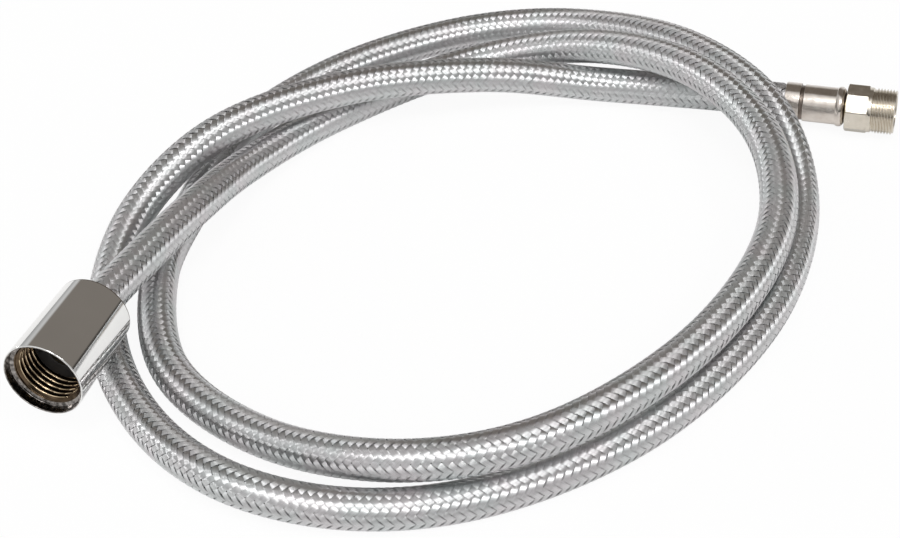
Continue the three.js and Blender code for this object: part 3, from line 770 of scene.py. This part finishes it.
def nut_shell():
    """The round nut. Its mouth's recess and its inside carry painted shade; the thread's crests keep
    the brass's own colour.
    """
    outline = eased([
        (MOUTH_BORE_RADIUS, 0, FINE_EDGE),
        (MOUTH_BORE_RADIUS, -MOUTH_BORE_DEPTH, SMALL_EDGE),
        (SHOULDER_RADIUS, -SHOULDER_DEPTH, FINE_EDGE),
        (NUT_BORE_RADIUS, -LEAD_IN_DEPTH, FINE_EDGE),
        (NUT_BORE_RADIUS, -NUT_THREAD_END, 0),
        (NUT_BORE_RADIUS, -THROAT_DEPTH, SMALL_EDGE),
        (THROAT_RADIUS, -THROAT_DEPTH, SMALL_EDGE),
        (THROAT_RADIUS, -RING_POCKET_DEPTH, SMALL_EDGE),
        (RING_POCKET_RADIUS, -RING_POCKET_DEPTH, FINE_EDGE),
        (RING_POCKET_RADIUS, -NUT_LENGTH + REAR_LIP_LENGTH, HAIR_EDGE),
        (REAR_LIP_RADIUS, -NUT_LENGTH + REAR_LIP_LENGTH, HAIR_EDGE),
        (REAR_LIP_RADIUS, -NUT_LENGTH, FINE_EDGE),
        (NUT_REAR_RADIUS, -NUT_LENGTH, NUT_REAR_EDGE),
        (NUT_MOUTH_RADIUS, 0, ROUND_EDGE),
    ])
    step = NUT_THREAD_PITCH / THREAD_STEPS
    outline = refined(outline, -NUT_THREAD_END, -MOUTH_BORE_DEPTH, NUT_BORE_RADIUS - FIT_GAP, step)
    mesh = turned("nut_shell", outline, round_angles(NUT_SIDES), nut_thread)
    radius, z = (outline + np.roll(outline, -1, axis=0)).T / 2
    rim_radius = MOUTH_BORE_RADIUS + RIM_SHARE * (NUT_MOUTH_RADIUS - MOUTH_BORE_RADIUS)
    # The mouth's recess and inner rim get the plate with painted shade; the rest of the inside gets
    # brass with painted shade, apart from the thread's crests
    recess = (radius < rim_radius) & (z > -SHOULDER_DEPTH)
    inside = (radius < MOUTH_BORE_RADIUS) & (z < -SHOULDER_DEPTH) & (z > -NUT_LENGTH + REAR_RIM)
    angle = round_angles(NUT_SIDES)[:, None]
    reach = nut_thread(np.tile(radius, (NUT_SIDES, 1)), z, angle)
    crest = inside & (z > -NUT_THREAD_END) & (reach < NUT_BORE_RADIUS + CREST_BRASS_HEIGHT)
    mesh.polygons.foreach_set("material_index", (recess + 2 * inside + crest).ravel().astype(np.int32))
    return mesh


def guide_ring():
    """The ring in the nut's rear pocket, with a nose through the rear lip."""
    front = -RING_POCKET_DEPTH - FIT_GAP
    step = front - RING_BODY_LENGTH
    rear = step - REAR_LIP_LENGTH
    body_radius = RING_POCKET_RADIUS - FIT_GAP
    nose_radius = REAR_LIP_RADIUS - FIT_GAP
    outline = eased([
        (RING_BORE_RADIUS, front, ROUND_EDGE),
        (body_radius, front, ROUND_EDGE),
        (body_radius, step, FINE_EDGE),
        (nose_radius, step, HAIR_EDGE),
        (nose_radius, rear, ROUND_EDGE),
        (RING_BORE_RADIUS, rear, ROUND_EDGE),
    ])
    return turned("guide_ring", outline, round_angles(RING_SIDES))


def seal_washer():
    outer_radius = NUT_BORE_RADIUS - FIT_GAP
    outline = eased([
        (WASHER_BORE_RADIUS, -WASHER_REAR, SOFT_EDGE),
        (outer_radius, -WASHER_REAR, SOFT_EDGE),
        (outer_radius, -WASHER_REAR + WASHER_THICKNESS, SOFT_EDGE),
        (WASHER_BORE_RADIUS, -WASHER_REAR + WASHER_THICKNESS, SOFT_EDGE),
    ])
    return turned("seal_washer", outline, round_angles(RING_SIDES))


# ---------------------------------------------------------------- the connector's end


def connector_sleeve():
    """The crimped sleeve: a collar, a groove with painted shade, the body over the hose and a rolled
    bulge whose swivel end has painted shade.
    """
    rear = -SLEEVE_LENGTH
    collar_end = rear + COLLAR_LENGTH
    groove_end = collar_end + GROOVE_LENGTH
    bore_radius = SLEEVE_RADIUS - SLEEVE_WALL
    bulge = []
    for step in range(1, BULGE_STEPS):
        share = step / BULGE_STEPS
        swell = BULGE_RISE * math.sin(share * math.pi) ** BULGE_FULLNESS
        rise = swell - BULGE_DROP * share**BULGE_DROP_POWER
        bulge.append((SLEEVE_RADIUS + rise, -BULGE_LENGTH * (1 - share), 0))
    outline = eased([
        (bore_radius, rear, HAIR_EDGE),
        (COLLAR_RADIUS, rear, SOFT_EDGE),
        (COLLAR_RADIUS, collar_end, SMALL_EDGE),
        (GROOVE_RADIUS, collar_end + GROOVE_SLOPE, FINE_EDGE),
        (GROOVE_RADIUS, groove_end - GROOVE_SLOPE, FINE_EDGE),
        (SLEEVE_RADIUS, groove_end, SMALL_EDGE),
        (SLEEVE_RADIUS, -BULGE_LENGTH - BULGE_LEAD, 0),
        (SLEEVE_RADIUS, -BULGE_LENGTH, SMALL_EDGE),
        *bulge,
        (SLEEVE_RADIUS - BULGE_DROP, 0, HAIR_EDGE),
        (SPIGOT_HOLE_RADIUS, 0, HAIR_EDGE),
        (SPIGOT_HOLE_RADIUS, -SLEEVE_WALL, HAIR_EDGE),
        (bore_radius - BULGE_DROP, -SLEEVE_WALL, HAIR_EDGE),
        (bore_radius, -BULGE_LENGTH / 2, 0),
    ])
    mesh = turned("connector_sleeve", outline, round_angles(RING_SIDES))
    z = (outline[:, 1] + np.roll(outline[:, 1], -1)) / 2
    # The groove and the swivel end of the bulge get the nickel with painted shade
    shaded_band = ((z > collar_end) & (z < groove_end)) | (z > -SHADED_END)
    mesh.polygons.foreach_set("material_index", np.tile(shaded_band, RING_SIDES).astype(np.int32))
    return mesh


def flat_angles():
    """Angles that lie close together at the corners between two flats."""
    sector = 360 / FLATS
    half_flat = math.degrees(math.acos(FLAT_RADIUS / CORNER_RADIUS))
    near_corner = [half_flat - CORNER_MARGIN, half_flat, (half_flat + sector / 2) / 2]
    one_side = [*FLAT_STEPS, *near_corner]
    offsets = sorted([-angle for angle in one_side[1:]] + one_side + [sector / 2])
    return np.radians([flat * sector + offset for flat in range(FLATS) for offset in offsets])


def connector_cut(radius, z, angle):
    """Cuts the flats and the outside thread."""
    sector = 2 * math.pi / FLATS
    from_flat = (angle + sector / 2) % sector - sector / 2
    radius = np.minimum(radius, np.minimum(FLAT_RADIUS / np.cos(from_flat), CORNER_RADIUS))
    threaded = MALE_THREAD_RADIUS - groove_depth(z, angle, MALE_THREAD_PITCH, MALE_THREAD_DEPTH)
    outside = (z > CONNECTOR_COLLAR_END) & (radius > (CONNECTOR_BORE_RADIUS + MALE_THREAD_RADIUS) / 2)
    return np.where(outside, np.minimum(radius, threaded), radius)


def threaded_connector():
    root_radius = MALE_THREAD_RADIUS - MALE_THREAD_DEPTH
    outline = eased([
        (SPIGOT_HOLE_RADIUS, WRENCH_START, FINE_EDGE),
        (FLAT_RADIUS, WRENCH_START, 0),
        (BEVEL_RADIUS, WRENCH_START + BEVEL_LENGTH, 0),
        (BEVEL_RADIUS, WRENCH_END - BEVEL_LENGTH, 0),
        (FLAT_RADIUS, WRENCH_END, 0),
        (FLAT_RADIUS, CONNECTOR_COLLAR_END - THREAD_CHAMFER, FINE_EDGE),
        (root_radius, CONNECTOR_COLLAR_END, FINE_EDGE),
        (MALE_THREAD_RADIUS, CONNECTOR_COLLAR_END + MALE_THREAD_DEPTH, 0),
        (MALE_THREAD_RADIUS, CONNECTOR_FRONT - THREAD_CHAMFER, 0),
        (MALE_THREAD_RADIUS - THREAD_CHAMFER, CONNECTOR_FRONT, HAIR_EDGE),
        (CONNECTOR_BORE_RADIUS, CONNECTOR_FRONT, SMALL_EDGE),
        (CONNECTOR_BORE_RADIUS, CONNECTOR_SHOULDER, HAIR_EDGE),
        (SPIGOT_HOLE_RADIUS, CONNECTOR_SHOULDER, HAIR_EDGE),
    ])
    bevel_step = BEVEL_LENGTH / BEVEL_STEPS
    thread_step = MALE_THREAD_PITCH / THREAD_STEPS
    outline = refined(outline, WRENCH_START, WRENCH_START + BEVEL_LENGTH, FLAT_RADIUS, bevel_step)
    outline = refined(outline, WRENCH_END - BEVEL_LENGTH, WRENCH_END, FLAT_RADIUS, bevel_step)
    outline = refined(outline, CONNECTOR_COLLAR_END, CONNECTOR_FRONT, root_radius, thread_step)
    return turned("threaded_connector", outline, flat_angles(), connector_cut)


# ---------------------------------------------------------------- assembly


def make_nut_end():
    shell_materials = [CHROME, NUT_RECESS, NUT_INSIDE, THREAD_CREST]
    show("nut_shell", nut_shell(), "nut", shell_materials, NUT_PLACE, ["swivel_nut"])
    show("nut_guide_ring", guide_ring(), "guide", [NYLON], NUT_PLACE, ["guide_ring"])
    show("nut_seal_washer", seal_washer(), "hose", [SEAL], NUT_PLACE, ["seal_washer"])


def make_connector_end():
    """Returns the pieces that are fixed on the hose's end or turn on it."""
    sleeve = show(
        "connector_sleeve",
        connector_sleeve(),
        "hose",
        [SLEEVE, SLEEVE_GROOVE],
        CONNECTOR_PLACE,
        ["connector_ferrule"],
    )
    thread = show(
        "threaded_connector",
        threaded_connector(),
        "connector",
        [NICKEL],
        CONNECTOR_PLACE,
        ["male_connector"],
    )
    return [sleeve, thread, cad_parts["connector_hose_tail"]]


def make_hose(end_pieces):
    mesh, path = inner_tube()
    tube = show("hose_tube", mesh, "hose", [TUBE], stands_for=["inner_tube"])
    for way, side in ((1, "right"), (-1, "left")):
        for number in range(RIBBONS_EACH_WAY):
            name = f"braid_{side}_{number + 1:02d}"
            show(name, ribbon(number, way), "hose", [WIRE], stands_for=["braid_sleeve"])


def finish_kept_nodes():
    """Gives the pieces that stay as packed their materials."""
    finishes = {
        "nut_hose_tail": BRASS,
        "connector_hose_tail": BRASS,
        "nut_ferrule": SHEET_STEEL,
        "retaining_ring": SHEET_STEEL,
        "o_ring": SEAL,
    }
    for name, material in finishes.items():
        for material_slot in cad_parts[name].material_slots:
            material_slot.material = material


make_hose(make_connector_end())
make_nut_end()
finish_kept_nodes()

# ---------------------------------------------------------------- floor and light

FLOOR_HEIGHT = -1.2 * MM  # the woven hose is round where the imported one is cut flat
FLOOR_HALF = 15
FLOOR_WHITE = (0.95, 0.95, 0.95)
FLOOR_ROUGHNESS = 0.9
FLOOR_GLOW_SEEN = 0.93  # share of the floor's look that is plain white
FLOOR_GLOW_MIRRORED = 0.25  # the same share in metal that mirrors the floor

# Directions are given in degrees: an azimuth, 0 behind the object and 90 to its right, and an
# elevation. These soft patches of the sky light the object: azimuth, elevation, strength.
PATCHES = [
    (-150, 6, 0.07),
    (-120, 6, 0.23),
    (-90, 6, 0.33),
    (-60, 6, 0.47),
    (-30, 6, 0.30),
    (0, 6, 0.40),
    (60, 6, 0.11),
    (90, 6, 0.43),
    (120, 6, 0.34),
    (-180, 32, 0.54),
    (-144, 32, 0.55),
    (-108, 32, 0.36),
    (-72, 32, 0.29),
    (-36, 32, 0.28),
    (36, 32, 0.07),
    (72, 32, 0.07),
    (108, 32, 0.50),
    (144, 32, 0.45),
    (-180, 58, 0.73),
    (-120, 58, 0.60),
    (-60, 58, 0.39),
    (0, 58, 0.28),
    (60, 58, 0.22),
    (120, 58, 0.60),
    (-180, 88, 0.60),
]
PATCH_CORE = 8  # degrees from a patch's middle up to which it is full
PATCH_EDGE = 30  # and from which it is nothing

# What covers parts of the sky, in this order: azimuth, elevation, core, edge, colour
COVERS = [
    (33, 35, 49, 54, (0.205, 0.185, 0.165)),  # a dim wall behind, which the fittings mirror
    (25, 3, 6, 26, (0.9, 0.9, 0.9)),  # a low white backdrop in front of it
    (72, -6, 10, 13, (0.06, 0.055, 0.05)),  # a dark gap at the backdrop's right
]

# Lamps: name, azimuth, elevation, strength, width of the lamp in degrees
SUNS = [
    ("key_light", -175, 60, 0.75, 18),
    ("second_light", 140, 50, 0.5, 18),
    ("side_light", -84, 17, 0.25, 8),
]


def largest(tree, values):
    """The largest of the values, as a node output."""
    result = values[0]
    for value in values[1:]:
        larger = tree.nodes.new("ShaderNodeMath")
        larger.operation = "MAXIMUM"
        tree.links.new(result, larger.inputs[0])
        tree.links.new(value, larger.inputs[1])
        result = larger.outputs[0]
    return result


def make_floor():
    half = FLOOR_HALF
    corners = [(-half, -half), (half, -half), (half, half), (-half, half)]
    mesh = bpy.data.meshes.new("floor")
    mesh.from_pydata([(x, y, FLOOR_HEIGHT) for x, y in corners], [], [(0, 1, 2, 3)])
    floor = bpy.data.objects.new("floor", mesh)
    bpy.context.scene.collection.objects.link(floor)
    material, tree, shader = new_material("white_floor")
    shader.inputs["Base Color"].default_value = (*FLOOR_WHITE, 1)
    shader.inputs["Roughness"].default_value = FLOOR_ROUGHNESS
    shader.inputs["Specular IOR Level"].default_value = 0
    path = tree.nodes.new("ShaderNodeLightPath")
    seen = spread(tree, path.outputs["Is Camera Ray"], 0, FLOOR_GLOW_SEEN, start=0, end=1)
    mirrored = largest(tree, [path.outputs["Is Glossy Ray"], path.outputs["Is Transmission Ray"]])
    share = largest(tree, [seen, spread(tree, mirrored, 0, FLOOR_GLOW_MIRRORED, start=0, end=1)])
    glow = tree.nodes.new("ShaderNodeEmission")
    mix = tree.nodes.new("ShaderNodeMixShader")
    tree.links.new(share, mix.inputs["Fac"])
    tree.links.new(shader.outputs[0], mix.inputs[1])
    tree.links.new(glow.outputs[0], mix.inputs[2])
    tree.links.new(mix.outputs[0], tree.nodes["Material Output"].inputs["Surface"])
    mesh.materials.append(material)


def sky_direction(azimuth, elevation):
    a, e = math.radians(azimuth), math.radians(elevation)
    return Vector((math.sin(a) * math.cos(e), math.cos(a) * math.cos(e), math.sin(e)))


def sky_patch(tree, where, azimuth, elevation, inner, outer):
    """One inside a round patch of the sky, fading to zero between two angles from its middle."""
    dot = tree.nodes.new("ShaderNodeVectorMath")
    dot.operation = "DOT_PRODUCT"
    dot.inputs[1].default_value = sky_direction(azimuth, elevation)
    tree.links.new(where, dot.inputs[0])
    start, end = math.cos(math.radians(outer)), math.cos(math.radians(inner))
    return spread(tree, dot.outputs["Value"], 0, 1, start=start, end=end)


def summed(tree, first, second):
    node = tree.nodes.new("ShaderNodeVectorMath")
    node.operation = "ADD"
    tree.links.new(first, node.inputs[0])
    tree.links.new(second, node.inputs[1])
    return node.outputs[0]


def make_world():
    """Light from the sky's patches, with the covers over them. The camera sees plain white."""
    world = bpy.data.worlds.new("studio")
    bpy.context.scene.world = world
    world.use_nodes = True
    tree = world.node_tree
    where = tree.nodes.new("ShaderNodeTexCoord").outputs["Generated"]
    light = None
    for azimuth, elevation, strength in PATCHES:
        patch = sky_patch(tree, where, azimuth, elevation, PATCH_CORE, PATCH_EDGE)
        part = mixed(tree, "MIX", patch, (0.0, 0.0, 0.0), (strength, strength, strength))
        light = summed(tree, light, part) if light else part
    for azimuth, elevation, core, edge, colour in COVERS:
        cover = sky_patch(tree, where, azimuth, elevation, core, edge)
        light = mixed(tree, "MIX", cover, light, colour)
    path = tree.nodes.new("ShaderNodeLightPath")
    seen = mixed(tree, "MIX", path.outputs["Is Camera Ray"], light, (1.0, 1.0, 1.0))
    tree.links.new(seen, tree.nodes["Background"].inputs["Color"])


def make_sun(name, azimuth, elevation, strength, width):
    data = bpy.data.lights.new(name, "SUN")
    data.energy = strength
    data.angle = math.radians(width)
    sun = bpy.data.objects.new(name, data)
    sun.rotation_mode = "QUATERNION"
    sun.rotation_quaternion = sky_direction(azimuth, elevation).to_track_quat("Z", "Y")
    bpy.context.scene.collection.objects.link(sun)


make_floor()
make_world()
for sun in SUNS:
    make_sun(*sun)

bpy.context.scene.view_settings.view_transform = "Standard"
